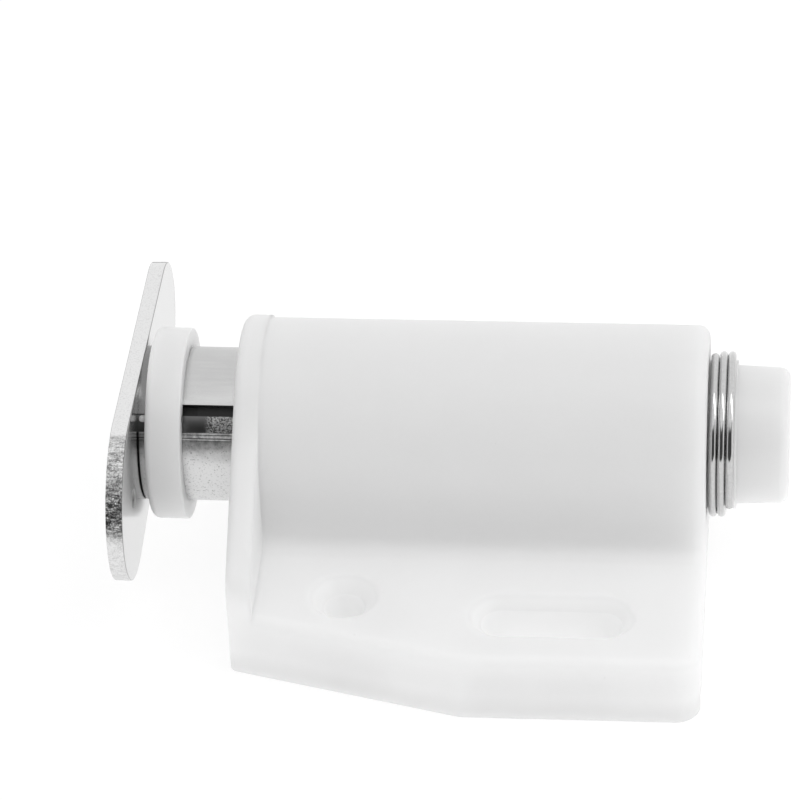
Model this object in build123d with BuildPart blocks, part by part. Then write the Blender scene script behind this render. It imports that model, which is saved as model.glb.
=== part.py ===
"""Magnetic touch latch: a sprung plunger with a magnetic head in a moulded housing.

The origin is the centre of the round screw hole, on the mounting face. +X runs from the plunger's
head to the rear plug, +Y from the screw wing to the barrel, +Z up from the mounting face.
"""
from build123d import *
from math import acos, atan2, cos, degrees, pi, sin
import os

os.makedirs("parts", exist_ok=True)

# Housing, in millimetres
housing_length = 48.2
barrel_radius = 11.2
axis_height = 14.4
wing_height = 7.5
wing_reach = 28.7
front_reach = 22.4
slant_length = 24.0
front_wall = 2.7
front_rim = 0.25
web_height = 11.2
web_corner = 3.0
slant_corner = 4.0
rear_corner = 2.6
root_fillet = 1.8
rim_edge = 1.2
front_edge = 1.0

# Hollow underside of the housing
skirt_wall = 1.8
wing_skin = 2.2
barrel_wall = 1.9
rib_thickness = 1.4
rib_pitch = 7.4

# Screw hole and screw slot, placed from the front face and the barrel's axis
hole_from_front = 11.7
hole_to_axis = 19.0
hole_radius = 2.1
hole_sink_radius = 3.5
hole_boss_radius = 4.2
slot_from_front = 33.0
slot_to_axis = 21.4
slot_length = 14.4
slot_width = 4.2
slot_sink = 1.25
slot_boss_wall = 1.7

# Bore of the barrel
mouth_length = 8.0
mouth_clearance = 0.1
bore_clearance = 0.4
rear_wall = 2.0
neck_clearance = 0.05

# Plunger tube, its open seam, the liner inside and the slit through both
tube_radius = 8.0
tube_wall = 0.5
tube_length = 38.0
tube_reach = 10.15
seam_width = 1.9
seam_angle = 142.2
liner_wall = 0.6
liner_clearance = 0.05
slit_width = 1.1
slit_angle = 131.9
slit_start = 2.0
slit_end = 21.3
dimple_from_front = 13.7
dimple_angle = 168.4
dimple_radius = 1.0
dimple_depth = 0.25

# Collar on the tube's nose
collar_wall = 1.95
collar_length = 3.5
collar_setback = 1.1
collar_round = 1.0
collar_rear_edge = 0.25
key_width = 0.7
key_angle = 139.1
key_root = 0.7
key_nose = 0.7

# Magnet head inside the tube
cup_depth = 6.0
cup_wall = 1.1
cup_floor = 1.2
cup_clearance = 0.05
magnet_setback = 0.2
magnet_clearance = 0.05
magnet_bore_radius = 3.0
rivet_radius = 1.5
rivet_head_radius = 2.6
rivet_head_height = 1.0
rivet_tail_height = 0.8
rivet_clearance = 0.03
block_floor = 3.0
block_depth = 10.0
block_skirt = 0.6

# Strike plate
plate_thickness = 1.7
plate_wide_radius = 9.05
plate_wide_offset = 11.5
plate_narrow_reach = 24.3
plate_narrow_half_width = 5.4
plate_narrow_corner = 2.2
plate_hole_radius = 2.1
plate_sink_radius = 3.2
pip_offset = 12.5
pip_radius = 1.0
pip_height = 0.9
pip_tip_radius = 0.2

# Rear plug and the wire coil round its neck
plug_front = 31.0
plug_clearance = 0.1
neck_radius = 7.65
neck_length = 3.0
cap_length = 5.35
cap_radius = 7.15
cap_end_radius = 6.95
cap_round = 1.0
coil_wire = 0.85
coil_turns = 2.9
coil_pitch = 0.88
coil_clearance = 0.07
coil_start_angle = -60.0

# Latching core, its cross pin and the follower wire
core_radius = 3.9
core_flat = 2.6
core_front = 3.2
core_socket = 10.0
core_clearance = 0.05
track_depth = 0.9
track_width = 4.4
track_front = 5.5
track_rear = 23.8
island_width = 1.9
island_front = 13.5
island_rear = 20.6
island_notch = 0.9
pin_radius = 0.8
pin_from_front = 36.5
pin_clearance = 0.03
pin_setback = 0.3
wire_radius = 0.4
wire_height = 3.6
wire_tip_from_front = 20.5
wire_bend = 0.8
wire_anchor = 2.4
wire_tip_gap = 0.2

# Main spring and its seat washer
spring_wire = 0.9
spring_radius = 5.4
spring_turns = 8
spring_gap = 0.1
washer_thickness = 0.5
washer_radius = 6.6
washer_clearance = 0.3

# Places worked out from the sizes above
front_x = -hole_from_front
axis_y = hole_to_axis
tube_inner = tube_radius - tube_wall
liner_outer = tube_inner - liner_clearance
liner_inner = liner_outer - liner_wall
collar_radius = tube_radius + collar_wall
key_inner = tube_inner + liner_clearance
key_outer = tube_radius + key_root
mouth_radius = tube_radius + mouth_clearance
bore_radius = tube_radius + bore_clearance
plug_radius = bore_radius - plug_clearance
rear_hole_radius = neck_radius + neck_clearance
plug_shoulder = housing_length - rear_wall
neck_end = housing_length + neck_length
cap_end = neck_end + cap_length
cup_radius = liner_inner - cup_clearance
magnet_radius = cup_radius - cup_wall - magnet_clearance
cup_rear = cup_depth - tube_reach
cup_floor_front = cup_rear - cup_floor
block_radius = liner_inner - cup_clearance
block_floor_rear = cup_rear + block_floor
spring_front = block_floor_rear
spring_rear = plug_front - washer_thickness
pin_half_length = plug_radius - pin_setback
wire_start = block_floor_rear - wire_anchor
spin_axis = Axis((front_x, axis_y, axis_height), (1, 0, 0))


def across(distance):
    """Plane square to the barrel, a distance behind the front face: local x is +Y, local y is +Z."""
    return Plane(
        origin=(front_x + distance, axis_y, axis_height),
        x_dir=(0, 1, 0),
        z_dir=(1, 0, 0),
    )


def wing_lines(part):
    """Edges along the barrel at the wing's height, from the wing's outer side inwards."""
    lines = part.edges().filter_by(Axis.X)
    return lines.filter_by(lambda line: abs(line.center().Z - wing_height) < 0.01).sort_by(Axis.Y)


# Upright plane through the barrel's axis: local x is the distance behind the front face, local y is up
along = Plane(origin=(front_x, axis_y, axis_height), x_dir=(1, 0, 0), z_dir=(0, -1, 0))

# Level planes whose local origin lies under the front face's centre
base = Plane(origin=(front_x, axis_y, 0), x_dir=(1, 0, 0), z_dir=(0, 0, 1))
wing_top = base.offset(wing_height)
core_top = base.offset(axis_height + core_flat)

# Plane of the cross pin: its normal runs across the barrel
cross_pin = Plane(origin=(front_x + pin_from_front, axis_y, axis_height), x_dir=(1, 0, 0), z_dir=(0, 1, 0))

# Housing: barrel, screw wing and front wall moulded in one
rim_radius = barrel_radius + front_rim
web_drop = axis_height - web_height
slant_slope = (wing_reach - front_reach) / slant_length
web_distance = (front_reach**2 + web_drop**2) ** 0.5
tangent_angle = pi + atan2(web_drop, front_reach) - acos(rim_radius / web_distance)
tangent_length = (web_distance**2 - rim_radius**2) ** 0.5 + slant_corner

with BuildSketch(base) as footprint:
    with BuildLine():
        Polyline(
            (0, barrel_radius),
            (0, -front_reach),
            (slant_length, -wing_reach),
            (housing_length, -wing_reach),
            (housing_length, barrel_radius),
            close=True,
        )
    make_face()
    fillet(footprint.vertices().group_by(Axis.Y)[0].sort_by(Axis.X)[0], slant_corner)
    fillet(footprint.vertices().group_by(Axis.Y)[0].sort_by(Axis.X)[-1], rear_corner)

with BuildSketch(base) as wing_outline:
    add(footprint.sketch_local)
    with Locations((front_wall / 2 - housing_length, 0)):
        Rectangle(2 * housing_length, 4 * wing_reach, mode=Mode.SUBTRACT)

with BuildSketch(base) as bosses:
    with Locations((hole_from_front, -hole_to_axis)):
        Circle(hole_boss_radius)
    with Locations((slot_from_front, -slot_to_axis)):
        SlotOverall(slot_length + 2 * slot_boss_wall, slot_width + 2 * slot_boss_wall)

rib_count = int((housing_length - front_wall - rib_thickness) / rib_pitch)
rib_places = [
    (front_wall + (i + 1) * (housing_length - front_wall - skirt_wall) / (rib_count + 1), -wing_reach / 2)
    for i in range(rib_count)
]

# Front wall: its top leaves the barrel on a tangent and falls to the wing's outer side
with BuildPart() as front_web:
    with BuildSketch(across(0)):
        Circle(rim_radius)
        with BuildLine():
            slope = PolarLine(
                (rim_radius * cos(tangent_angle), rim_radius * sin(tangent_angle)),
                tangent_length,
                degrees(tangent_angle) + 90,
            )
            Polyline(
                slope @ 1,
                ((slope @ 1).X, -axis_height),
                (barrel_radius, -axis_height),
                (barrel_radius, 0),
                (0, 0),
                slope @ 0,
            )
        make_face()
    extrude(amount=front_wall)
    add(footprint.sketch)
    extrude(amount=2 * axis_height, mode=Mode.INTERSECT)
    fillet(front_web.faces().sort_by(Axis.Y)[0].edges().sort_by(Axis.Z)[-1], web_corner)
    front_lines = front_web.faces().sort_by(Axis.X)[0].edges()
    fillet(front_lines.filter_by(lambda line: line.center().Z > 0.1), front_edge)

with BuildPart() as housing:
    # Barrel with upright sides down to the mounting face
    with BuildSketch(across(front_wall / 2)):
        Circle(barrel_radius)
        with Locations((0, -axis_height / 2)):
            Rectangle(2 * barrel_radius, axis_height)
    extrude(amount=housing_length - front_wall / 2)
    # Screw wing, narrower towards the front
    add(wing_outline.sketch)
    extrude(amount=wing_height)
    fillet(wing_lines(housing)[-1], root_fillet)
    # One rounding runs along the wing's rim and all round the rear end
    fillet(wing_lines(housing)[0], rim_edge)
    add(front_web.part)
    # Hollow underside, divided by cross ribs, with bosses round the screw holes
    with BuildSketch(base):
        with BuildLine():
            Polyline(
                (front_wall, barrel_radius - skirt_wall),
                (front_wall, skirt_wall - front_reach - front_wall * slant_slope),
                (slant_length, -wing_reach + skirt_wall),
                (housing_length - skirt_wall, -wing_reach + skirt_wall),
                (housing_length - skirt_wall, barrel_radius - skirt_wall),
                close=True,
            )
        make_face()
        add(bosses.sketch_local, mode=Mode.SUBTRACT)
        with Locations(*rib_places):
            Rectangle(rib_thickness, 4 * wing_reach, mode=Mode.SUBTRACT)
    extrude(amount=wing_height - wing_skin, mode=Mode.SUBTRACT)
    # Wall round the bore, where it dips into the hollow underside
    with BuildSketch(across(front_wall)):
        Circle(bore_radius + barrel_wall)
    extrude(amount=housing_length - front_wall - skirt_wall)
    # Bore: close round the tube at the mouth, a little wider behind, and a neck hole in the rear wall
    with BuildSketch(across(0)):
        Circle(mouth_radius)
    extrude(amount=mouth_length, mode=Mode.SUBTRACT)
    with BuildSketch(across(mouth_length)):
        Circle(bore_radius)
    extrude(amount=plug_shoulder - mouth_length, mode=Mode.SUBTRACT)
    with BuildSketch(across(plug_shoulder)):
        Circle(rear_hole_radius)
    extrude(amount=rear_wall, mode=Mode.SUBTRACT)
    # Countersunk screw hole and countersunk slot
    with Locations(wing_top):
        with Locations((hole_from_front, -hole_to_axis)):
            CounterSinkHole(hole_radius, hole_sink_radius, wing_height)
    with BuildSketch(base):
        with Locations((slot_from_front, -slot_to_axis)):
            SlotOverall(slot_length, slot_width)
    extrude(amount=wing_height, mode=Mode.SUBTRACT)
    with BuildSketch(wing_top.offset(-slot_sink)):
        with Locations((slot_from_front, -slot_to_axis)):
            SlotOverall(slot_length, slot_width)
    with BuildSketch(wing_top):
        with Locations((slot_from_front, -slot_to_axis)):
            SlotOverall(slot_length + 2 * slot_sink, slot_width + 2 * slot_sink)
    loft(mode=Mode.SUBTRACT)
housing.part.label = "housing"
export_step(housing.part, "parts/housing.step")

# Slit beside the seam, cut through the tube and the liner
with BuildSketch(across(slit_start - tube_reach)) as slit:
    with PolarLocations(tube_inner, 1, start_angle=slit_angle):
        Rectangle(4 * liner_wall, slit_width)

# Plunger tube: sheet steel rolled into a tube with an open seam
with BuildPart() as plunger_tube:
    with BuildSketch(across(-tube_reach)):
        Circle(tube_radius)
        Circle(tube_inner, mode=Mode.SUBTRACT)
        with PolarLocations(tube_radius, 1, start_angle=seam_angle):
            Rectangle(tube_radius, seam_width, mode=Mode.SUBTRACT)
    extrude(amount=tube_length)
    extrude(slit.sketch, amount=slit_end - slit_start, mode=Mode.SUBTRACT)
    # Crimp dimple that grips the head block inside
    dimple_depth_radius = (dimple_radius**2 + dimple_depth**2) / (2 * dimple_depth)
    with Locations(across(dimple_from_front - tube_reach)):
        with PolarLocations(tube_radius + dimple_depth_radius - dimple_depth, 1, start_angle=dimple_angle):
            Sphere(dimple_depth_radius, mode=Mode.SUBTRACT)
plunger_tube.part.label = "plunger_tube"
export_step(plunger_tube.part, "parts/plunger_tube.step")

# Liner: steel sleeve inside the tube, seen through the seam
with BuildPart() as liner_sleeve:
    with BuildSketch(across(-tube_reach)):
        Circle(liner_outer)
        Circle(liner_inner, mode=Mode.SUBTRACT)
    extrude(amount=tube_length)
    extrude(slit.sketch, amount=slit_end - slit_start, mode=Mode.SUBTRACT)
liner_sleeve.part.label = "liner_sleeve"
export_step(liner_sleeve.part, "parts/liner_sleeve.step")

# Collar: moulded ring pressed on the tube behind its rim
with BuildPart() as nose_collar:
    with BuildSketch(across(collar_setback - tube_reach)):
        Circle(collar_radius)
        Circle(tube_radius, mode=Mode.SUBTRACT)
    extrude(amount=collar_length)
    fillet(nose_collar.faces().sort_by(Axis.X)[0].edges().sort_by(SortBy.LENGTH)[-1], collar_round)
    fillet(nose_collar.faces().sort_by(Axis.X)[-1].edges().sort_by(SortBy.LENGTH)[-1], collar_rear_edge)
    # Key in the tube's seam, which keeps the collar from turning; its end stands out in front
    with BuildSketch(across(collar_setback - tube_reach - key_nose)):
        with PolarLocations((key_inner + key_outer) / 2, 1, start_angle=key_angle):
            Rectangle(key_outer - key_inner, key_width)
    extrude(amount=key_nose + collar_length)
nose_collar.part.label = "nose_collar"
export_step(nose_collar.part, "parts/nose_collar.step")

# Magnet cup: drawn steel cup flush with the tube's rim, riveted through its floor
with BuildPart() as pole_cup:
    with BuildSketch(across(-tube_reach)):
        Circle(cup_radius)
    extrude(amount=cup_depth)
    with BuildSketch(across(-tube_reach)):
        Circle(cup_radius - cup_wall)
    extrude(amount=cup_depth - cup_floor, mode=Mode.SUBTRACT)
    with BuildSketch(across(-tube_reach)):
        Circle(rivet_radius + rivet_clearance)
    extrude(amount=cup_depth, mode=Mode.SUBTRACT)
pole_cup.part.label = "pole_cup"
export_step(pole_cup.part, "parts/pole_cup.step")

# Ring magnet in the cup
with BuildPart() as magnet:
    with BuildSketch(across(magnet_setback - tube_reach)):
        Circle(magnet_radius)
        Circle(magnet_bore_radius, mode=Mode.SUBTRACT)
    extrude(amount=cup_depth - cup_floor - magnet_setback)
magnet.part.label = "magnet"
export_step(magnet.part, "parts/magnet.step")

# Rivet through the cup's floor and the head block
with BuildPart() as head_rivet:
    with BuildSketch(across(cup_floor_front - rivet_head_height)):
        Circle(rivet_head_radius)
    extrude(amount=rivet_head_height)
    with BuildSketch(across(cup_floor_front)):
        Circle(rivet_radius)
    extrude(amount=cup_floor + block_floor)
    with BuildSketch(across(block_floor_rear)):
        Circle(rivet_head_radius - rivet_clearance)
    extrude(amount=rivet_tail_height)
head_rivet.part.label = "head_rivet"
export_step(head_rivet.part, "parts/head_rivet.step")

# Head block: moulded cup gripped in the tube, seat of the main spring and of the follower wire
with BuildPart() as head_block:
    with BuildSketch(across(cup_rear)):
        Circle(block_radius)
        Circle(rivet_radius + rivet_clearance, mode=Mode.SUBTRACT)
        with Locations((0, wire_height)):
            Circle(wire_radius + rivet_clearance, mode=Mode.SUBTRACT)
    extrude(amount=block_floor)
    with BuildSketch(across(block_floor_rear)):
        Circle(block_radius)
        Circle(block_radius - block_skirt, mode=Mode.SUBTRACT)
    extrude(amount=block_depth - block_floor)
head_block.part.label = "head_block"
export_step(head_block.part, "parts/head_block.step")

# Strike plate: steel plate on the magnet, one end round and wide, the other narrow
narrow_offset = plate_narrow_reach - plate_narrow_corner
narrow_height = plate_narrow_half_width - plate_narrow_corner
with BuildPart() as strike_plate:
    with BuildSketch(across(-tube_reach)):
        with BuildLine():
            CenterArc((-plate_wide_offset, 0), plate_wide_radius, 0, 360)
            CenterArc((narrow_offset, narrow_height), plate_narrow_corner, 0, 360)
            CenterArc((narrow_offset, -narrow_height), plate_narrow_corner, 0, 360)
        make_hull()
    extrude(amount=-plate_thickness)
    # Pips formed through the plate that bite the door and keep the plate from turning
    for side in (-1, 1):
        with BuildSketch(across(-tube_reach - plate_thickness)):
            with Locations((side * pip_offset, 0)):
                Circle(pip_radius)
        with BuildSketch(across(-tube_reach - plate_thickness - pip_height)):
            with Locations((side * pip_offset, 0)):
                Circle(pip_tip_radius)
        loft()
        with BuildSketch(across(-tube_reach)):
            with Locations((side * pip_offset, 0)):
                Circle(pip_radius)
        with BuildSketch(across(-tube_reach - pip_height)):
            with Locations((side * pip_offset, 0)):
                Circle(pip_tip_radius)
        loft(mode=Mode.SUBTRACT)
    with Locations(across(-tube_reach)):
        CounterSinkHole(plate_hole_radius, plate_sink_radius, plate_thickness)
strike_plate.part.label = "strike_plate"
export_step(strike_plate.part, "parts/strike_plate.step")

# Rear plug: body behind the mechanism, neck through the housing's rear wall, tapered end cap
with BuildPart() as rear_plug:
    with BuildSketch(along):
        with BuildLine():
            Polyline(
                (plug_front, 0),
                (plug_front, plug_radius),
                (plug_shoulder, plug_radius),
                (plug_shoulder, neck_radius),
                (neck_end, neck_radius),
                (neck_end, cap_radius),
                (cap_end, cap_end_radius),
                (cap_end, 0),
                close=True,
            )
        make_face()
    revolve(axis=spin_axis)
    fillet(rear_plug.faces().sort_by(Axis.X)[-1].edges(), cap_round)
    with BuildSketch(across(plug_front)):
        Circle(core_radius + core_clearance)
    extrude(amount=core_socket, mode=Mode.SUBTRACT)
    with BuildSketch(cross_pin):
        Circle(pin_radius + pin_clearance)
    extrude(amount=plug_radius, both=True, mode=Mode.SUBTRACT)
rear_plug.part.label = "rear_plug"
export_step(rear_plug.part, "parts/rear_plug.step")

# Wire coil wound tight round the plug's neck, which keeps the plug from being pulled forward
coil_radius = neck_radius + coil_clearance + coil_wire / 2
with BuildPart() as coil_ring:
    with BuildLine() as coil_path:
        Helix(pitch=coil_pitch, height=coil_pitch * coil_turns, radius=coil_radius)
    with BuildSketch(Plane(origin=coil_path.line @ 0, z_dir=coil_path.line % 0)):
        Circle(coil_wire / 2)
    sweep()
coil_place = across(housing_length + coil_wire / 2).location * Rotation(0, 0, coil_start_angle)
coil_ring.part = coil_ring.part.moved(coil_place)
coil_ring.part.label = "coil_ring"
export_step(coil_ring.part, "parts/coil_ring.step")

# Latching core: moulded bar fixed in the plug, with the heart-shaped track in its flat
with BuildPart() as latch_core:
    with BuildSketch(across(core_front)):
        Circle(core_radius)
        with Locations((0, core_flat + core_radius)):
            Rectangle(2 * core_radius, 2 * core_radius, mode=Mode.SUBTRACT)
    extrude(amount=plug_front - core_front)
    with BuildSketch(across(plug_front)):
        Circle(core_radius)
    extrude(amount=core_socket)
    # Track: a loop round an island whose notch holds the follower's tip
    with BuildSketch(core_top):
        with Locations(((track_front + track_rear) / 2, 0)):
            SlotOverall(track_rear - track_front, track_width)
        with BuildLine():
            Polyline(
                (island_front, 0),
                (island_rear - island_width, island_width / 2),
                (island_rear, island_width / 2),
                (island_rear - island_notch, 0),
                (island_rear, -island_width / 2),
                (island_rear - island_width, -island_width / 2),
                close=True,
            )
        make_face(mode=Mode.SUBTRACT)
    extrude(amount=-track_depth, mode=Mode.SUBTRACT)
    with BuildSketch(cross_pin):
        Circle(pin_radius + pin_clearance)
    extrude(amount=core_radius, both=True, mode=Mode.SUBTRACT)
latch_core.part.label = "latch_core"
export_step(latch_core.part, "parts/latch_core.step")

# Cross pin that fixes the core in the plug
with BuildPart() as core_pin:
    with BuildSketch(cross_pin):
        Circle(pin_radius)
    extrude(amount=pin_half_length, both=True)
core_pin.part.label = "core_pin"
export_step(core_pin.part, "parts/core_pin.step")

# Follower wire: anchored in the head block, its bent tip runs in the core's track
with BuildPart() as follower_wire:
    with BuildLine(along):
        FilletPolyline(
            (wire_start, wire_height),
            (wire_tip_from_front, wire_height),
            (wire_tip_from_front, core_flat - track_depth + wire_tip_gap),
            radius=wire_bend,
        )
    with BuildSketch(across(wire_start)):
        with Locations((0, wire_height)):
            Circle(wire_radius)
    sweep()
follower_wire.part.label = "follower_wire"
export_step(follower_wire.part, "parts/follower_wire.step")

# Steel washer that seats the main spring on the plug
with BuildPart() as spring_washer:
    with BuildSketch(across(plug_front - washer_thickness)):
        Circle(washer_radius)
        Circle(core_radius + washer_clearance, mode=Mode.SUBTRACT)
    extrude(amount=washer_thickness)
spring_washer.part.label = "spring_washer"
export_step(spring_washer.part, "parts/spring_washer.step")

# Main spring: pushes the plunger out when the track lets go
spring_length = spring_rear - spring_front - spring_wire - 2 * spring_gap
with BuildPart() as main_spring:
    with BuildLine() as spring_path:
        Helix(pitch=spring_length / spring_turns, height=spring_length, radius=spring_radius)
    with BuildSketch(Plane(origin=spring_path.line @ 0, z_dir=spring_path.line % 0)):
        Circle(spring_wire / 2)
    sweep()
spring_place = across(spring_front + spring_gap + spring_wire / 2).location
main_spring.part = main_spring.part.moved(spring_place)
main_spring.part.label = "main_spring"
export_step(main_spring.part, "parts/main_spring.step")
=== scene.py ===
"""Magnetic touch latch, dressed for its photograph: moulded housing, plated plunger tube, steel strike plate.

Lengths are in metres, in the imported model's frame: the origin is the centre of the round screw hole on the mounting
face, +X runs from the magnetic head to the rear plug, +Y from the screw wing to the barrel, +Z up.
"""
import math

import bpy
import numpy as np
from mathutils import Matrix, Vector


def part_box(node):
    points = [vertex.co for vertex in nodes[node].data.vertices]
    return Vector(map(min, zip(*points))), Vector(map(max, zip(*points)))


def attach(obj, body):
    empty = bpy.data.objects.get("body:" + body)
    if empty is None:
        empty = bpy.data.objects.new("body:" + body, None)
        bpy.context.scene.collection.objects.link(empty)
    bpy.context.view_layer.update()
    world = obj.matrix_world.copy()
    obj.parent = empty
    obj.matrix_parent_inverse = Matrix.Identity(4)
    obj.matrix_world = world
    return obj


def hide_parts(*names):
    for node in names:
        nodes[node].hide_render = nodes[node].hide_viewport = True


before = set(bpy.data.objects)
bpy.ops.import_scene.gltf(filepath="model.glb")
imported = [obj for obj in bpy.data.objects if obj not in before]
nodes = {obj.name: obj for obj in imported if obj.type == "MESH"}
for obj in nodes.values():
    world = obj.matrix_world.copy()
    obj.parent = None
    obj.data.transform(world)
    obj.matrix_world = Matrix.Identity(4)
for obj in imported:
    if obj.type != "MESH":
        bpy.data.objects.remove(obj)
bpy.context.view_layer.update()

# Camera: a long lens, looking down on the screw wing from in front and above, a little from the plug's end.
tube_low, tube_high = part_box("plunger_tube")
axis_y, axis_z = (tube_low.y + tube_high.y) / 2, (tube_low.z + tube_high.z) / 2
front_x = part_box("housing")[0].x
PICTURE, SENSOR = 800, 36
# The focal length is in pixels of the picture
FOCAL = 4828.1
DISTANCE = 0.4972
AZIMUTH, ELEVATION, ROLL = (math.radians(degrees) for degrees in (5.204, 39.353, 2.064))
# The point on the barrel's near side that the camera is aimed by, and the pixel where it lies
AIM_BACK, AIM_ASIDE, AIM_DOWN = 0.024, 0.008, 0.004
AIM = Vector((front_x + AIM_BACK, axis_y - AIM_ASIDE, axis_z - AIM_DOWN))
AIM_PIXEL = (470.7, 507.5)

right = Vector((math.cos(AZIMUTH), math.sin(AZIMUTH), 0))
back = Vector((
    math.sin(AZIMUTH) * math.cos(ELEVATION),
    -math.cos(AZIMUTH) * math.cos(ELEVATION),
    math.sin(ELEVATION),
))
up = back.cross(right)
rolled_right = math.cos(ROLL) * right - math.sin(ROLL) * up
rolled_up = math.sin(ROLL) * right + math.cos(ROLL) * up
turn = Matrix((rolled_right, rolled_up, back)).transposed()
seen = Vector((AIM_PIXEL[0] - PICTURE / 2, PICTURE / 2 - AIM_PIXEL[1], -FOCAL))
turn = (turn @ seen).rotation_difference(-back).to_matrix() @ turn
camera = bpy.data.objects.new("camera", bpy.data.cameras.new("camera"))
camera.data.sensor_width = SENSOR
camera.data.lens = FOCAL / PICTURE * SENSOR
camera.matrix_world = Matrix.Translation(AIM + DISTANCE * back) @ turn.to_4x4()
bpy.context.scene.collection.objects.link(camera)
bpy.context.scene.camera = camera
bpy.context.scene.view_settings.view_transform = "Standard"


# Floor and light: the latch stands on a white table in a light tent, with a long softbox above it on the plug's side.
# The tent is open on the side of the camera, and the dark room there shows in the steel. The background is plain
# white to the camera and in reflections.
class Wire:
    """One output socket of a node. The signs + - * / and ** on it add Math nodes."""

    def __init__(self, finish, socket):
        self.finish, self.socket = finish, socket

    def _sum(self, operation, *values):
        return self.finish.add("ShaderNodeMath", {"operation": operation}, *values)

    def __add__(self, other):
        return self._sum("ADD", self, other)

    def __sub__(self, other):
        return self._sum("SUBTRACT", self, other)

    def __mul__(self, other):
        return self._sum("MULTIPLY", self, other)

    def __truediv__(self, other):
        return self._sum("DIVIDE", self, other)

    def __pow__(self, other):
        return self._sum("POWER", self, other)

    def __rsub__(self, other):
        return self._sum("SUBTRACT", other, self)

    __radd__, __rmul__ = __add__, __mul__

    def least(self, other):
        return self._sum("MINIMUM", self, other)

    def most(self, other):
        return self._sum("MAXIMUM", self, other)

    def step(self, low, high):
        """0 below low, 1 above high, smooth between them."""
        return self.finish.add(
            "ShaderNodeMapRange", {"interpolation_type": "SMOOTHSTEP"}, self, low, high
        )


class Finish:
    """A node tree with one method, add(), that makes any node: settings first, then its sockets."""

    def __init__(self, tree):
        self.tree = tree
        tree.nodes.clear()

    def add(self, kind, settings=None, *values, out=0, **named):
        """Adds a node. values fill its inputs in order, named by name (_ for a space); a None leaves its input be."""
        node = self.tree.nodes.new(kind)
        for key, value in (settings or {}).items():
            setattr(node, key, value)
        wanted = list(enumerate(values))
        wanted += [(key.replace("_", " "), value) for key, value in named.items()]
        for key, value in wanted:
            if value is None:
                continue
            if isinstance(value, Wire):
                self.tree.links.new(value.socket, node.inputs[key])
            else:
                node.inputs[key].default_value = value
        return Wire(self, node.outputs[out]) if node.outputs else None

    def split(self, wire):
        """The three numbers of a vector or colour, as wires."""
        parts = self.add("ShaderNodeSeparateXYZ", None, wire).socket.node
        return [Wire(self, socket) for socket in parts.outputs]

    def tint(self, mask, low, high):
        """A colour that goes from low to high as mask goes from 0 to 1."""
        # The node's inputs for mixing numbers and vectors lie between its factor and its colours
        unused = [None] * 5
        return self.add("ShaderNodeMix", {"data_type": "RGBA"}, mask, *unused, low, high, out=2)

    def rays(self):
        """1 for rays from the camera, and 1 for rays from mirrors and glass, each 0 for any other."""
        path = self.add("ShaderNodeLightPath").socket.node
        camera_ray, mirror_ray, glass_ray = (
            Wire(self, path.outputs[name])
            for name in ("Is Camera Ray", "Is Glossy Ray", "Is Transmission Ray")
        )
        return camera_ray, mirror_ray.most(glass_ray)


def grey(level):
    """A neutral colour of one level."""
    return (level, level, level, 1)


# The tent's light grows upwards and backwards. The edges of its opening are shares of a direction, from 0 to 1: how
# much of it points to the camera's side, and how much of it points up, at the opening's foot and at its top.
TENT_LEVEL, TENT_BACK, TENT_UP = 0.52, 0.15, 0.39
OPENING_SIDES, OPENING_FOOT, OPENING_TOP = (0.52, 0.72), (-0.03, 0.02), (0.62, 0.76)
ROOM_LEVEL = 0.07
world = bpy.data.worlds.new("tent")
world.use_nodes = True
bpy.context.scene.world = world
tent = Finish(world.node_tree)
aside, backward, upward = tent.split(tent.add("ShaderNodeTexCoord", None, out=0))
tent_light = TENT_LEVEL + TENT_BACK * backward + TENT_UP * upward.most(0.0)
flat = (aside * aside + backward * backward + 0.0001) ** 0.5
opening = (-1 * backward / flat).step(*OPENING_SIDES)
opening = opening * upward.step(*OPENING_FOOT) * (1 - upward.step(*OPENING_TOP))
camera_ray, mirror_ray = tent.rays()
mirrored = 1 - (1 - ROOM_LEVEL) * opening
tent_light = tent_light + mirror_ray * (mirrored - tent_light)
tent_light = tent_light + camera_ray * (1 - tent_light)
tent.add("ShaderNodeOutputWorld", None, tent.add("ShaderNodeBackground", None, grey(1), tent_light))

FLOOR_HALF = 0.9
# The white table is translucent and lit from below, which fills the shade at the latch's foot. Camera and mirrors see
# it as plain white, with the latch's shadow.
TABLE_WHITE, TABLE_GLOW = 0.9, 0.42
SHOWN_WHITE, SHOWN_GLOW = 0.24, 0.82
floor_mesh = bpy.data.meshes.new("floor")
floor_mesh.from_pydata(
    [(x, y, 0) for x, y in ((-1, -1), (1, -1), (1, 1), (-1, 1))], [], [(0, 1, 2, 3)]
)
floor_mesh.transform(Matrix.Scale(FLOOR_HALF, 4))
floor = bpy.data.objects.new("floor", floor_mesh)
bpy.context.scene.collection.objects.link(floor)
floor_material = bpy.data.materials.new("white_table")
floor_material.use_nodes = True
table = Finish(floor_material.node_tree)
camera_ray, mirror_ray = table.rays()
lit, shown = (
    table.add(
        "ShaderNodeAddShader",
        None,
        table.add("ShaderNodeBsdfDiffuse", None, grey(white)),
        table.add("ShaderNodeEmission", None, grey(1), glow),
    )
    for white, glow in ((TABLE_WHITE, TABLE_GLOW), (SHOWN_WHITE, SHOWN_GLOW))
)
table.add(
    "ShaderNodeOutputMaterial",
    None,
    table.add("ShaderNodeMixShader", None, camera_ray.most(mirror_ray), lit, shown),
)
floor_mesh.materials.append(floor_material)

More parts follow.
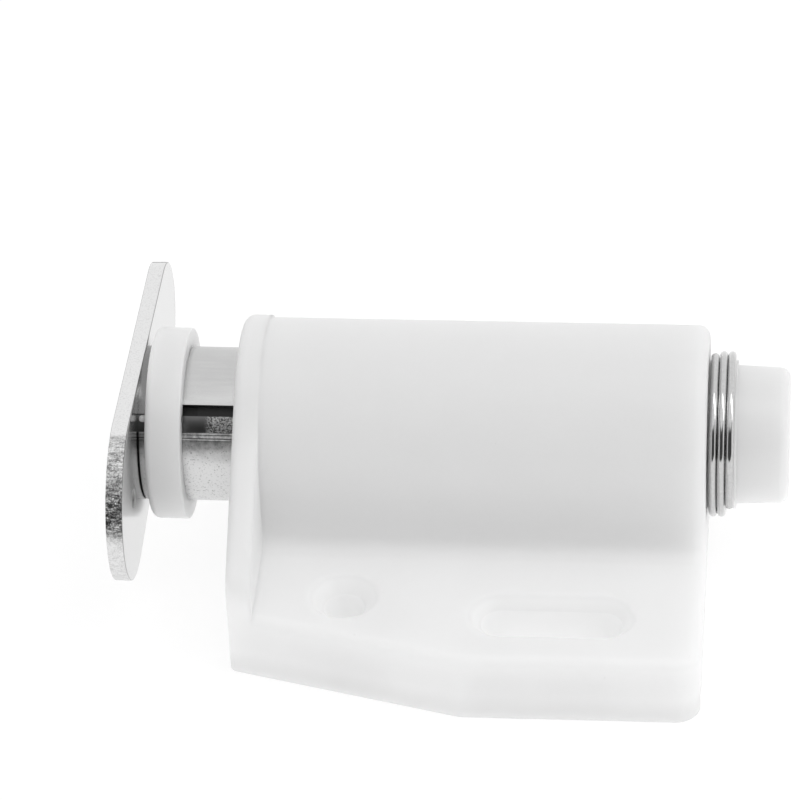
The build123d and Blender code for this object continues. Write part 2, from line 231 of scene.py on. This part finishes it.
LAMP_SIZE, LAMP_POWER = (0.13, 0.52), 0.42
LAMP_PLACE = 0.45 * Vector((0.46, -0.1, 0.88))
lamp = bpy.data.objects.new("long_softbox", bpy.data.lights.new("long_softbox", "AREA"))
lamp.data.shape = "RECTANGLE"
lamp.data.size, lamp.data.size_y = LAMP_SIZE
lamp.data.energy = LAMP_POWER
lamp.location = AIM + LAMP_PLACE
lamp.rotation_euler = (lamp.location - AIM).to_track_quat("Z", "Y").to_euler()
bpy.context.scene.collection.objects.link(lamp)


# Housing: one injection moulding in white nylon, with the barrel, the screw wing with its hole and slot, and the
# front wall. The surface is satin from the mould, and light sinks a little way into it. Light on the wing is painted:
# a painted glow, stronger in the hole and the slot, and a painted lighter white there, stand for the table's light
# coming through the thin wing. The housing's foot is painted darker, as painted shade.
class Coat(Finish):
    """A material whose patterns lie on Object coordinates, in metres."""

    def __init__(self, name):
        self.material = bpy.data.materials.new(name)
        self.material.use_nodes = True
        super().__init__(self.material.node_tree)
        self.place = self.add("ShaderNodeTexCoord", None, out=3)

    def grain(self, size, detail=2.0, stretch=(1, 1, 1), offset=(0, 0, 0), rough=0.5):
        """Noise from 0 to 1 with grains of a size in metres, drawn out along an axis by stretch."""
        place = self.add(
            "ShaderNodeMapping", None, self.place, offset, (0, 0, 0),
            tuple(1 / (size * s) for s in stretch),
        )
        return self.add(
            "ShaderNodeTexNoise", None, Vector=place, Scale=1.0, Detail=detail, Roughness=rough
        )

    def bump(self, height, distance, strength=1.0, under=None):
        """A normal whose relief is height times a distance in metres, on top of the one under it."""
        return self.add(
            "ShaderNodeBump", None, Strength=strength, Distance=distance, Height=height, Normal=under
        )

    def surface(self, **sockets):
        """Closes the tree with a Principled shader whose sockets are filled by name, and returns the material."""
        shader = self.add("ShaderNodeBsdfPrincipled", None, **sockets)
        self.add("ShaderNodeOutputMaterial", None, shader)
        return self.material


def dress(name, material):
    """Gives a CAD node its finish."""
    mesh = nodes[name].data
    mesh.materials.clear()
    mesh.materials.append(material)


# Painted light and shade of the housing: the glow over the wing and in the hole and slot, the lighter white in the
# hole and slot, and the darker white at the foot
WING_PAINTED_GLOW, BORE_PAINTED_GLOW = 0.055, 0.05
BORE_PAINTED_LIGHT, FOOT_PAINTED_SHADE = 0.9, 0.76
SOFT_EDGE = 0.0008
SLOT_PLACE, SLOT_LENGTH, SLOT_WIDTH = (0.0213, -0.0024), 0.0144, 0.0042
# Where each mask of the housing's painted light and shade fades: up to the wing's top, up the slope above it, at the
# wall of the hole and slot, up from the mounting face, and from upright to level surfaces
WING_TOP, SLOPE_TOP = (0.0069, 0.0074), (0.0074, 0.0112)
BORE_WALL, FOOT_TOP, LEVEL = (0.0034, 0.0038), (0.0002, 0.0032), (0.1, 0.7)


def painted_wing_light(coat, colour):
    """The wing's painted light and shade: a painted glow fading up the slope, a painted lighter white in the hole and
    slot for the table's light through the wing, and painted shade at the foot.

    The slot is all that lies within its half width of the line between the centres of its two ends.
    """
    place_x, place_y, place_z = coat.split(coat.place)
    deep = 1 - place_z.step(*WING_TOP)
    from_hole = (place_x * place_x + place_y * place_y) ** 0.5
    aside = ((place_x - SLOT_PLACE[0]) ** 2) ** 0.5 - (SLOT_LENGTH - SLOT_WIDTH) / 2
    across = place_y - SLOT_PLACE[1]
    from_slot = (aside.most(0.0) ** 2 + across * across) ** 0.5
    bore = deep * (1 - from_hole.least(from_slot).step(*BORE_WALL))
    colour = coat.tint(bore, colour, grey(BORE_PAINTED_LIGHT))
    facing_up = coat.split(coat.add("ShaderNodeTexCoord", None, out=1))[2].step(*LEVEL)
    painted_glow_mask = (1 - place_z.step(*SLOPE_TOP)) * (0.75 + 0.25 * facing_up)
    foot = (1 - place_z.step(*FOOT_TOP)) * (1 - bore)
    painted_glow_mask = painted_glow_mask * (1 - 0.9 * foot)
    colour = coat.tint(foot, colour, grey(FOOT_PAINTED_SHADE))
    glow = WING_PAINTED_GLOW * painted_glow_mask + BORE_PAINTED_GLOW * bore * (1 - facing_up)
    return colour, coat.tint(glow, grey(0), grey(1))


def moulded(name, level, roughness, sink=1.0, depth=0.004, paint_wing_light=False):
    """White moulded plastic: cloudy by a percent or two, satin, with a fine mould texture. For the housing it adds
    the wing's painted glow, a painted lighter white in the hole and slot, and painted shade at the foot.
    """
    coat = Coat(name)
    cloud = coat.grain(0.006, 3)
    skin = coat.grain(0.00035, 3)
    speck = coat.grain(0.0011, 4, offset=(3, 1, 2)).step(0.72, 0.78)
    colour = coat.tint(0.6 * cloud + 0.4 * skin, grey(level - 0.02), grey(level + 0.012))
    colour = coat.tint(0.1 * speck, colour, grey(0.4))
    soft_edge, glow = None, {}
    if paint_wing_light:
        soft_edge = coat.add("ShaderNodeBevel", {"samples": 6}, SOFT_EDGE)
        colour, painted_glow_colour = painted_wing_light(coat, colour)
        glow = {"Emission_Color": painted_glow_colour, "Emission_Strength": 1.0}
    relief = coat.bump(coat.grain(0.0045, 2, offset=(5, 0, 1)), 0.00006, under=soft_edge)
    relief = coat.bump(skin, 0.00001, 0.35, under=relief)
    return coat.surface(
        Base_Color=colour,
        Roughness=roughness - 0.05 + 0.12 * cloud,
        Subsurface_Weight=sink,
        Subsurface_Radius=(1.0, 1.0, 1.0),
        Subsurface_Scale=depth,
        Normal=relief,
        **glow,
    )


dress("housing", moulded("white_nylon_satin", 0.85, 0.42, paint_wing_light=True))

# Rear plug: a moulding in white acetal, a little glossier than the nylon, pushed into the barrel from behind. Its cap
# stands out at the back, and the coil lies round its neck.
dress("rear_plug", moulded("white_acetal_plug", 0.81, 0.34, depth=0.002))

# Plunger tube: plated sheet steel rolled round a mandrel, with an open seam along its near side. The lower edge of the
# seam is rolled back into a small bead, and a slit runs beside the upper edge. The sizes of new pieces are in
# millimetres and degrees, the angles counted from +Y towards +Z.
MM = 0.001
CREASE = 38


def weave(rows, columns, first=0, closed=False):
    """Faces between rings of points numbered first + row * columns + column; closed joins last ring to first."""
    row, column = np.meshgrid(np.arange(rows if closed else rows - 1), np.arange(columns), indexing="ij")
    next_row, next_column = (row + 1) % rows, (column + 1) % columns
    corners = (
        row * columns + column,
        row * columns + next_column,
        next_row * columns + next_column,
        next_row * columns + column,
    )
    return first + np.stack([corner.ravel() for corner in corners], axis=1)


def end_cap(start, count):
    """Faces that close a ring of count points, numbered from start: strips from side to side."""
    step = np.arange(count // 2 - 1)
    return start + np.stack([step, count - 1 - step, count - 2 - step, step + 1], axis=1)


def round_axis(place, radius, angle):
    """Points at a place along the tube's axis, and at a radius and an angle in radians round it."""
    across, height = axis_y / MM + radius * np.cos(angle), axis_z / MM + radius * np.sin(angle)
    return np.stack(np.broadcast_arrays(place, across, height), axis=-1)


def made_piece(name, points, faces, material, body, node, slot):
    """A piece from points in millimetres and quads, standing for a CAD node; edges sharper than CREASE stay sharp."""
    mesh = bpy.data.meshes.new(name)
    mesh.from_pydata((points * MM).tolist(), [], faces.tolist())
    mesh.polygons.foreach_set("use_smooth", np.ones(len(mesh.polygons), dtype=bool))
    mesh.set_sharp_from_angle(angle=math.radians(CREASE))
    mesh.materials.append(material)
    mesh.update()
    made = bpy.data.objects.new(name, mesh)
    bpy.context.scene.collection.objects.link(made)
    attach(made, body)
    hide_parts(node)


TUBE_RADIUS, TUBE_WALL = 8.0, 0.5
SEAM_LOW, SEAM_HIGH, SLIT_HIGH = 149.0, 135.4, 128.0
SLIT_ENDS = (2.0, 21.3)
DIMPLE_BACK, DIMPLE_ANGLE, DIMPLE_RADIUS, DIMPLE_DEPTH = 13.7, 168.4, 1.1, 0.25
# The dimple's depth on the inner wall is this share of the outer one
DIMPLE_INSIDE = 0.6
# The bead and the groove lie in a strip along the seam's lower edge
EDGE_STRIP = 0.95
BEAD_WIDTH, BEAD_HEIGHT, GROOVE_PLACE, GROOVE_WIDTH, GROOVE_DEPTH = 0.36, 0.07, 0.58, 0.11, 0.08
# The rim is rounded, but past the crisp angle only by a share
RIM_ROUND, RIM_CRISP_ANGLE, RIM_CRISP_SHARE = 0.16, 330, 0.12
COLLAR_SETBACK = 0.88
rim_x = tube_low.x / MM
tube_length = (tube_high.x - tube_low.x) / MM


def rolled_tube():
    """The tube on a grid of places along it and angles round it, inner wall and ends included.

    Outer radius: the tube's own, plus a bead, half a sine wave high, along the seam's lower edge, less a groove, a
    bell curve deep, beside the bead, less a round dimple, a parabola deep, less the rim's rounding, which falls with
    the square of the distance. The last angle is the seam's upper edge, which steps up to the slit's edge between the
    slit's ends.
    """
    along = np.concatenate([
        [0.0, RIM_ROUND / 2, RIM_ROUND],
        np.repeat(SLIT_ENDS[0], 2),
        np.linspace(DIMPLE_BACK - DIMPLE_RADIUS, DIMPLE_BACK + DIMPLE_RADIUS, 13),
        np.repeat(SLIT_ENDS[1], 2),
        [tube_length],
    ])
    # Each end of the slit is a place taken twice, and the seam's edge steps between the two
    row = np.arange(len(along))
    in_slit = (row > 3) & (row < len(along) - 2)
    per_mm = math.degrees(1 / TUBE_RADIUS)
    angle = np.concatenate([
        SEAM_LOW + per_mm * np.linspace(0, EDGE_STRIP, 18),
        np.linspace(DIMPLE_ANGLE - DIMPLE_RADIUS * per_mm, DIMPLE_ANGLE + DIMPLE_RADIUS * per_mm, 13),
        np.linspace(180, 360 + SLIT_HIGH - 2, 110),
        [0.0],
    ])
    place, turn_angle = np.meshgrid(along, angle, indexing="ij")
    turn_angle[:, -1] = 360 + np.where(in_slit, SLIT_HIGH, SEAM_HIGH)
    from_edge = (turn_angle - SEAM_LOW) / per_mm
    bead = BEAD_HEIGHT * np.sin(np.pi * np.clip(from_edge / BEAD_WIDTH, 0, 1)) ** 0.6
    groove = GROOVE_DEPTH * np.exp(-(((from_edge - GROOVE_PLACE) / GROOVE_WIDTH) ** 2))
    off = ((place - DIMPLE_BACK) ** 2 + ((turn_angle - DIMPLE_ANGLE) / per_mm) ** 2) / DIMPLE_RADIUS**2
    dimple = DIMPLE_DEPTH * np.clip(1 - off, 0, 1)
    crisp = np.where(turn_angle > RIM_CRISP_ANGLE, RIM_CRISP_SHARE, 1)
    rim_round = RIM_ROUND * (1 - np.clip(place / RIM_ROUND, 0, 1)) ** 2 * crisp
    outer = TUBE_RADIUS + bead - groove - dimple - rim_round
    inner = TUBE_RADIUS - TUBE_WALL - DIMPLE_INSIDE * dimple
    shells = [round_axis(rim_x + place, radius, np.radians(turn_angle)) for radius in (outer, inner)]
    # Round the section: out along the outer wall, back along the inner one
    loop = np.concatenate([shells[0], shells[1][:, ::-1]], axis=1)
    rows, columns = loop.shape[:2]
    faces = [weave(rows, columns), end_cap(0, columns), end_cap((rows - 1) * columns, columns)[:, ::-1]]
    return loop.reshape(-1, 3), np.concatenate(faces)


# Fine streaks that rolling leaves along the barrel: their width in metres and detail, and how far they are drawn out
DRAWN, ALONG = (0.0004, 2), (14, 1, 1)


def tube_steel():
    """The tube's finish: satin above the seam, speckled and rougher below, with mottled darker patches along the
    seam's lower edge, and painted shade in the groove beside the bead and at the nose.
    """
    coat = Coat("plated_tube")
    place_x, place_y, place_z = coat.split(coat.place)
    near = axis_y - place_y
    height = place_z - axis_z
    drawn = coat.grain(*DRAWN, stretch=ALONG)
    cloud = coat.grain(0.003, 3)
    pits = coat.grain(0.00022, 4, offset=(1, 7, 2), rough=0.7)
    # How far below the groove beside the bead a point lies, square to the radius there
    groove_angle = math.radians(SEAM_LOW + math.degrees(GROOVE_PLACE / TUBE_RADIUS))
    below = math.sin(groove_angle) * near + math.cos(groove_angle) * height
    groove_painted_shade = 1 - (below * below).step(0.0, 0.000000012)
    low = below.step(-0.0016, -0.0005)
    mottled_band = 1 - below.step(-0.0002, 0.0028)
    patches = coat.grain(0.0007, 4, offset=(3, 3, 1), rough=0.65).step(0.35, 0.65)
    speck = pits.step(0.64 - 0.08 * low, 0.76 - 0.1 * low)
    tone = 0.5 * cloud + 0.5 * drawn
    colour = coat.tint(tone, grey(0.52), grey(0.62))
    colour = coat.tint(low, colour, grey(0.72))
    # Darker in mottled patches in a band along the seam's lower edge
    colour = coat.tint(low * mottled_band * (0.35 + 0.45 * patches), colour, grey(0.12))
    colour = coat.tint(speck * (0.2 + 0.35 * low), colour, grey(0.12))
    # Painted shade: the groove beside the bead is painted nearly black
    colour = coat.tint(0.75 * groove_painted_shade, colour, grey(0.05))
    # Painted shade: dark in the upper corner in front of the collar and on the rim, and over all that stands out in
    # front of the collar, more above the seam
    nose_x = (rim_x + COLLAR_SETBACK) * MM
    nose_painted_shade = place_x.step(nose_x - 0.0004, nose_x - 0.0001) * (1 - place_x.step(nose_x + 0.0001, nose_x + 0.0004))
    nose_painted_shade = nose_painted_shade * height.step(0.0036, 0.0056)
    rim = 1 - place_x.step((rim_x + 0.1) * MM, (rim_x + 0.18) * MM)
    nose_painted_shade = nose_painted_shade.most(rim * (0.3 + 0.65 * low))
    shade = (0.3 + 0.35 * (1 - low)) * (1 - place_x.step(nose_x, nose_x + 0.0003))
    colour = coat.tint(nose_painted_shade.most(shade), colour, grey(0.03))
    relief = coat.bump(0.5 * drawn + (0.5 + 1.2 * low) * pits, 0.000006, 0.8)
    return coat.surface(
        Base_Color=colour,
        Metallic=1.0,
        Roughness=0.2 + 0.1 * cloud + 0.14 * low + 0.1 * speck,
        Normal=relief,
    )


made_piece("rolled_tube", *rolled_tube(), tube_steel(), "plunger", "plunger_tube", "plated_tube_steel")

# Liner: a second sleeve of bare steel sheet, rolled to slide into the tube from behind. It shows in the open seam,
# below the slit, where it is smooth at first and rough further in.
ETCHED_BACK = (6.65, 7.55)


def liner_steel():
    """Bare rolled steel: smooth and grey near the nose, etched to a fine dark grain further in."""
    coat = Coat("liner_sheet")
    place_x = coat.split(coat.place)[0]
    etched = place_x.step(*((rim_x + back) * MM for back in ETCHED_BACK))
    grit = coat.grain(0.00018, 4, rough=0.7)
    cloud = coat.grain(0.002, 2)
    colour = coat.tint(cloud, grey(0.13), grey(0.24))
    colour = coat.tint(etched * grit.step(0.42, 0.6), colour, grey(0.62))
    colour = coat.tint(etched * (1 - grit.step(0.34, 0.48)), colour, grey(0.05))
    return coat.surface(
        Base_Color=colour,
        Metallic=1.0,
        Roughness=0.28 + 0.18 * etched,
        Normal=coat.bump(etched * grit, 0.00004),
    )


dress("liner_sleeve", liner_steel())

# Nose collar: a ring of white acetal pressed on the tube, with a rounded front edge, a crisp rear edge, and a key in
# the tube's seam whose end stands out in front.
COLLAR_RADIUS, COLLAR_LENGTH, COLLAR_ROUND, COLLAR_CRISP, COLLAR_LIP = 9.95, 3.72, 0.7, 0.12, 0.3
KEY_ANGLE, KEY_WIDTH, KEY_ROOT, KEY_TOP, KEY_NOSE = 139.1, 0.7, 7.55, 8.7, 0.7


def turned_collar():
    """The ring's section turned round the tube's axis: a quarter circle in front, a small one behind."""
    bend = np.linspace(0, math.pi / 2, 9)
    place = np.concatenate([
        [0, 0],
        COLLAR_ROUND * (1 - np.cos(bend)),
        COLLAR_LENGTH - COLLAR_CRISP * (1 - np.sin(bend)),
        [COLLAR_LENGTH],
    ])
    radius = np.concatenate([
        [TUBE_RADIUS, TUBE_RADIUS + COLLAR_LIP],
        COLLAR_RADIUS - COLLAR_ROUND * (1 - np.sin(bend)),
        COLLAR_RADIUS - COLLAR_CRISP * (1 - np.cos(bend)),
        [TUBE_RADIUS],
    ])
    turn_angle = np.linspace(0, 2 * math.pi, 160, endpoint=False)
    points = round_axis(rim_x + COLLAR_SETBACK + place[:, None], radius[:, None], turn_angle)
    return points.reshape(-1, 3), weave(*points.shape[:2], closed=True)


def key_bar(first):
    """The key: rounded squares, shrunk at both ends, one behind the other along the seam.

    A rounded square is the square root of the cosine against that of the sine, each with its own sign.
    """
    corner = np.linspace(0, 2 * math.pi, 24, endpoint=False)
    length = KEY_NOSE + COLLAR_LENGTH
    place = np.array([0, 0.04, 0.16, 0.3, length - 0.05, length - 0.01])
    shrink = np.array([0.3, 0.65, 0.9, 1.0, 1.0, 0.9])
    square = np.abs(np.stack([np.cos(corner), np.sin(corner)])) ** 0.5 * np.sign([np.cos(corner), np.sin(corner)])
    across = KEY_WIDTH / 2 * shrink[:, None] * square[1]
    outward = (KEY_ROOT + KEY_TOP) / 2 + (KEY_TOP - KEY_ROOT) / 2 * shrink[:, None] * square[0]
    lean = math.radians(KEY_ANGLE)
    points = np.stack([
        rim_x + COLLAR_SETBACK - KEY_NOSE + place[:, None] + 0 * corner,
        axis_y / MM + outward * math.cos(lean) - across * math.sin(lean),
        axis_z / MM + outward * math.sin(lean) + across * math.cos(lean),
    ], axis=-1)
    rows, columns = points.shape[:2]
    last = first + (rows - 1) * columns
    faces = [weave(rows, columns, first), end_cap(first, columns), end_cap(last, columns)[:, ::-1]]
    return points.reshape(-1, 3), np.concatenate(faces)


ring_points, ring_faces = turned_collar()
key_points, key_faces = key_bar(len(ring_points))
made_piece(
    "turned_collar",
    np.concatenate([ring_points, key_points]),
    np.concatenate([ring_faces, key_faces]),
    moulded("white_acetal_nose", 0.82, 0.36, depth=0.0015),
    "plunger",
    "nose_collar",
    "white_acetal_collar",
)


# Magnet head and latch works: a ring magnet of sintered ferrite in a drawn steel cup, riveted to a moulded block in
# the tube. Behind it lie the core with the heart-shaped track, its pin and follower wire, and the main spring on its
# washer. Only the seam, the slit and the open nose show a little of them.
def plated(name, level, roughness, streak=0.05):
    """Plated steel: soft streaks along the barrel from rolling, fine specks and a slightly uneven polish."""
    coat = Coat(name)
    drawn = coat.grain(*DRAWN, stretch=ALONG)
    cloud = coat.grain(0.003, 3)
    speck = coat.grain(0.00025, 3, offset=(1, 7, 2)).step(0.62, 0.72)
    tone = (0.5 * cloud + 0.5 * drawn) - 0.35 * speck
    colour = coat.tint(tone, grey(level - streak), grey(level + streak))
    relief = coat.bump(0.6 * drawn + 0.4 * speck, 0.000004, 0.6)
    return coat.surface(
        Base_Color=colour,
        Metallic=1.0,
        Roughness=roughness + 0.12 * cloud + 0.1 * speck,
        Normal=relief,
    )


def sintered():
    """Ferrite: nearly black, dull, with a fine grain."""
    coat = Coat("sintered_ferrite")
    sinter = coat.grain(0.0002, 4)
    return coat.surface(
        Base_Color=coat.tint(sinter, grey(0.04), grey(0.1)),
        Roughness=0.55 + 0.2 * sinter,
        Normal=coat.bump(sinter, 0.00002),
    )


# The cup's steel is painted nearly black: painted shade for the deep shade inside the nose
dress("pole_cup", plated("drawn_cup_painted_shade", 0.05, 0.45, 0.02))
dress("magnet", sintered())
dress("head_rivet", plated("rivet_steel_plain", 0.58, 0.3))
dress("head_block", moulded("dark_acetal_block", 0.025, 0.5, sink=0.0))
dress("latch_core", moulded("natural_acetal_inside", 0.75, 0.45))
dress("core_pin", plated("pin_steel_plain", 0.58, 0.3))
dress("spring_washer", plated("washer_sheet", 0.5, 0.35))
dress("follower_wire", plated("follower_wire_bright", 0.6, 0.25))
dress("main_spring", plated("main_spring_oiled", 0.42, 0.35))

# Coil: bright drawn spring wire in close turns round the plug's neck, behind the housing. Both ends are cut off square
# on the near side. It is wound nearly square to the axis there, and crosses over to the next turn on the far side.
COIL_RADIUS, COIL_WIRE, COIL_PITCH, COIL_SETBACK = 8.145, 0.43, 0.87, 0.61
COIL_START, COIL_END, COIL_FACING, COIL_FLATNESS = 66.0, 925.0, 140.0, 1.4
# The cut ends are eased over two steps of an angle in radians, to shares of the wire's thickness
EASE_STEP, EASE_TIP, EASE_SHOULDER = 0.006, 0.7, 0.92
coil_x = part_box("housing")[1].x / MM + COIL_SETBACK


def wound_coil():
    """A round wire carried along a winding line.

    The line's place along the axis is the angle gone from the near side, less its sine by the flatness, times the
    pitch of a turn. The faces are turned round to point outwards.
    """
    turned = np.radians(np.linspace(COIL_START, COIL_END, 300))
    start, end = turned[:1], turned[-1:]
    turned = np.concatenate([start, start, start + EASE_STEP, turned[1:], end + EASE_STEP, end + 2 * EASE_STEP])
    thick = np.full(len(turned), COIL_WIRE)
    thick[[0, -1]] *= EASE_TIP
    thick[[1, -2]] *= EASE_SHOULDER
    gone = turned - math.radians(COIL_FACING)
    forward = COIL_PITCH / (2 * math.pi) * (gone - COIL_FLATNESS * np.sin(gone))
    round_wire = np.linspace(0, 2 * math.pi, 20, endpoint=False)
    points = round_axis(
        coil_x + forward[:, None] + thick[:, None] * np.sin(round_wire),
        COIL_RADIUS + thick[:, None] * np.cos(round_wire),
        turned[:, None],
    )
    rows, columns = points.shape[:2]
    faces = [weave(rows, columns), end_cap(0, columns), end_cap((rows - 1) * columns, columns)[:, ::-1]]
    return points.reshape(-1, 3), np.concatenate(faces)[:, ::-1]


LINES_PER_METRE = 14000


def drawn_wire():
    """Bright wire with fine lines left by the drawing die, running along it."""
    coat = Coat("coil_wire_bright")
    place_x, place_y, place_z = coat.split(coat.place)
    from_axis = ((place_y - axis_y) ** 2 + (place_z - axis_z) ** 2) ** 0.5
    section = coat.add(
        "ShaderNodeCombineXYZ", None, place_x * LINES_PER_METRE, from_axis * LINES_PER_METRE, 0.0
    )
    lines = coat.add("ShaderNodeTexNoise", None, Vector=section, Scale=1.0, Detail=2.0, Roughness=0.6)
    dust = coat.grain(0.0003, 3, rough=0.6)
    colour = coat.tint(0.6 * lines + 0.4 * dust, grey(0.36), grey(0.8))
    return coat.surface(
        Base_Color=colour,
        Metallic=1.0,
        Roughness=0.05 + 0.1 * dust,
        Normal=coat.bump(lines, 0.000006, 0.6),
    )


made_piece("wound_coil", *wound_coil(), drawn_wire(), "housing", "coil_ring", "spring_wire")

# Strike plate: a pear-shaped blank sheared from bright zinc-plated sheet, held by the magnet alone. Its inner face is
# smooth, its sheared edge is fine-grained on the straight flanks and torn round the ends.
PLATE_THICKNESS = 1.7
WIDE_RADIUS, WIDE_BACK, NARROW_RADIUS, NARROW_BACK = 8.83, 11.95, 6.6, 17.0
PLATE_HOLE, PLATE_SINK = 2.1, 3.2
PIP_PLACE, PIP_RADIUS, PIP_HEIGHT = 12.5, 1.25, 0.9
# Between these shares of the way out the rings lie close together, for the pips
PIP_BAND = (0.40, 0.63)
# The edge is rounded inside and breaks back after a share of the thickness; inset and depth of each line below that
EDGE_ROUND, BREAK_SHARE = 0.14, 0.38
broken = EDGE_ROUND + BREAK_SHARE * (PLATE_THICKNESS - EDGE_ROUND)
EDGE_LINES = (
    (0, broken),
    (0.012, broken + 0.08),
    (0.02, PLATE_THICKNESS - 0.05),
    (0.06, PLATE_THICKNESS),
)


def pear_outline():
    """Points round the plate: an arc at each end and the two straight lines that touch both arcs."""
    touch = math.acos((WIDE_RADIUS - NARROW_RADIUS) / (WIDE_BACK + NARROW_BACK))
    narrow = np.linspace(-touch, touch, 71)
    wide = np.linspace(touch, 2 * math.pi - touch, 141)
    narrow = np.stack([NARROW_BACK + NARROW_RADIUS * np.cos(narrow), NARROW_RADIUS * np.sin(narrow)], axis=1)
    wide = np.stack([-WIDE_BACK + WIDE_RADIUS * np.cos(wide), WIDE_RADIUS * np.sin(wide)], axis=1)
    share = np.linspace(0, 1, 48)[1:-1, None]
    return np.concatenate([
        narrow,
        narrow[-1] * (1 - share) + wide[0] * share,
        wide,
        wide[-1] * (1 - share) + narrow[0] * share,
    ])


def pips(plane):
    """Depth of the two pips at points of the plate's plane: half a cosine wave from foot to top."""
    centres = [(PIP_PLACE, 0), (-PIP_PLACE, 0)]
    off = np.minimum(*(np.linalg.norm(plane - centre, axis=-1, keepdims=True) for centre in centres))
    return PIP_HEIGHT * (0.5 + 0.5 * np.cos(np.pi * np.clip(off / PIP_RADIUS, 0, 1)))


def sheared_plate():
    """The plate as rings of points, from the hole's rim out over the inner face, round the edge and back outside.

    A ring on a face lies a share of the way from the hole to the outline. The edge has a rounded inner corner and
    steps in a little where the sheet broke. The face sinks at each pip, and rises as much outside.
    """
    outline = pear_outline()
    direction = outline / np.linalg.norm(outline, axis=1)[:, None]
    outward = np.roll(outline, -1, axis=0) - np.roll(outline, 1, axis=0)
    outward = np.stack([outward[:, 1], -outward[:, 0]], axis=1)
    outward /= np.linalg.norm(outward, axis=1)[:, None]
    inside = outline - EDGE_ROUND * outward
    share = np.concatenate([
        np.linspace(0, PIP_BAND[0], 9)[1:-1], np.linspace(*PIP_BAND, 31), np.linspace(PIP_BAND[1], 1, 12)[1:-1]
    ])[:, None, None]
    bend = np.linspace(0, math.pi / 2, 5)[:, None, None]
    inset, fall = np.array(EDGE_LINES).T[:, :, None, None]
    inner_face = direction * PLATE_SINK * (1 - share) + inside * share
    outer_face = (direction * PLATE_HOLE * (1 - share) + inside * share)[::-1]
    # Each part of the section: its points in the plate's plane, and their depth behind the inner face
    section = (
        (direction[None] * PLATE_HOLE, PLATE_SINK - PLATE_HOLE),
        (direction[None] * PLATE_SINK, 0),
        (inner_face, pips(inner_face)),
        (inside + EDGE_ROUND * np.sin(bend) * outward, EDGE_ROUND * (1 - np.cos(bend))),
        (outline - inset * outward, fall),
        (outer_face, PLATE_THICKNESS + pips(outer_face)),
        (direction[None] * PLATE_HOLE, PLATE_THICKNESS),
    )
    plane = np.concatenate([part for part, _ in section])
    depth = np.concatenate([np.broadcast_to(depth, part.shape[:2] + (1,)) for part, depth in section])
    points = np.concatenate([rim_x - depth, (axis_y / MM, axis_z / MM) + plane], axis=-1)
    return points.reshape(-1, 3), weave(*points.shape[:2], closed=True)[:, ::-1]


# Where the torn edge of the wide end begins, across from the axis, and the heights between which a dark reflection
# is painted on it
TORN_START = (-0.0136, -0.0130)
REFLECTION_BAND_START, REFLECTION_BAND_FADE, REFLECTION_BAND_END = (0.0004, 0.003), (0.0052, 0.0064), (0.0078, 0.0092)


def sheared_zinc():
    """Bright zinc: a faintly brushed face, a grainy edge, and a torn, crackled edge round the wide end, with a painted
    dark reflection over a band of its height.
    """
    coat = Coat("zinc_plate_bright")
    facing_x, facing_y, _ = coat.split(coat.add("ShaderNodeTexCoord", None, out=1))
    square_on = facing_x * facing_x
    face = square_on.step(0.35, 0.8)
    edge = 1 - face
    _, place_y, place_z = coat.split(coat.place)
    height = place_z - axis_z
    torn = edge * (1 - place_y.step(*(axis_y + start for start in TORN_START)))
    dark_reflection_band = height.step(*REFLECTION_BAND_START) * (1 - 0.45 * height.step(*REFLECTION_BAND_FADE))
    dark_reflection_band = dark_reflection_band * (1 - 0.5 * height.step(*REFLECTION_BAND_END))
    tip = edge * facing_y.step(0.4, 0.5)
    corner = square_on.step(0.08, 0.3) * (1 - square_on.step(0.75, 0.95)) * (1 - torn)
    crackle = coat.grain(0.00019, 5, rough=0.75)
    tears = coat.grain(0.00035, 4, stretch=(2.5, 1, 1), offset=(4, 1, 1), rough=0.7)
    fine = coat.grain(0.00016, 3, offset=(2, 5, 1))
    ripple = coat.grain(0.0012, 2, offset=(2, 2, 2))
    brushed = coat.grain(0.0005, 3, stretch=(1, 1, 8))
    colour = coat.tint(brushed, grey(0.62), grey(0.72))
    colour = coat.tint(edge, colour, grey(0.8))
    colour = coat.tint(edge * (1 - fine.step(0.3, 0.5)) * 0.4, colour, grey(0.45))
    # Painted dark reflection over a band of the torn edge; the crackle's dark and bright flecks are grain, stronger
    # there
    colour = coat.tint(0.8 * torn * dark_reflection_band, colour, grey(0.18))
    mixed = 0.55 * crackle + 0.45 * tears
    colour = coat.tint(torn * (1 - mixed.step(0.44, 0.53)) * (0.2 + 0.75 * dark_reflection_band), colour, grey(0.03))
    colour = coat.tint(torn * dark_reflection_band * mixed.step(0.54, 0.58), colour, grey(0.9))
    colour = coat.tint((0.6 * corner).most(0.8 * tip), colour, grey(0.12))
    rough_height = edge * 0.25 * fine + torn * (0.4 + 0.6 * dark_reflection_band) * (1.2 * crackle + 0.8 * tears)
    relief = coat.bump(rough_height, 0.00007, 1.0)
    relief = coat.bump(ripple + 0.2 * brushed, 0.00001, 0.3, under=relief)
    return coat.surface(
        Base_Color=colour,
        Metallic=1.0,
        Roughness=0.14 + 0.14 * edge + 0.06 * brushed,
        Normal=relief,
    )


made_piece("sheared_plate", *sheared_plate(), sheared_zinc(), "plunger", "strike_plate", "zinc_plated_steel")
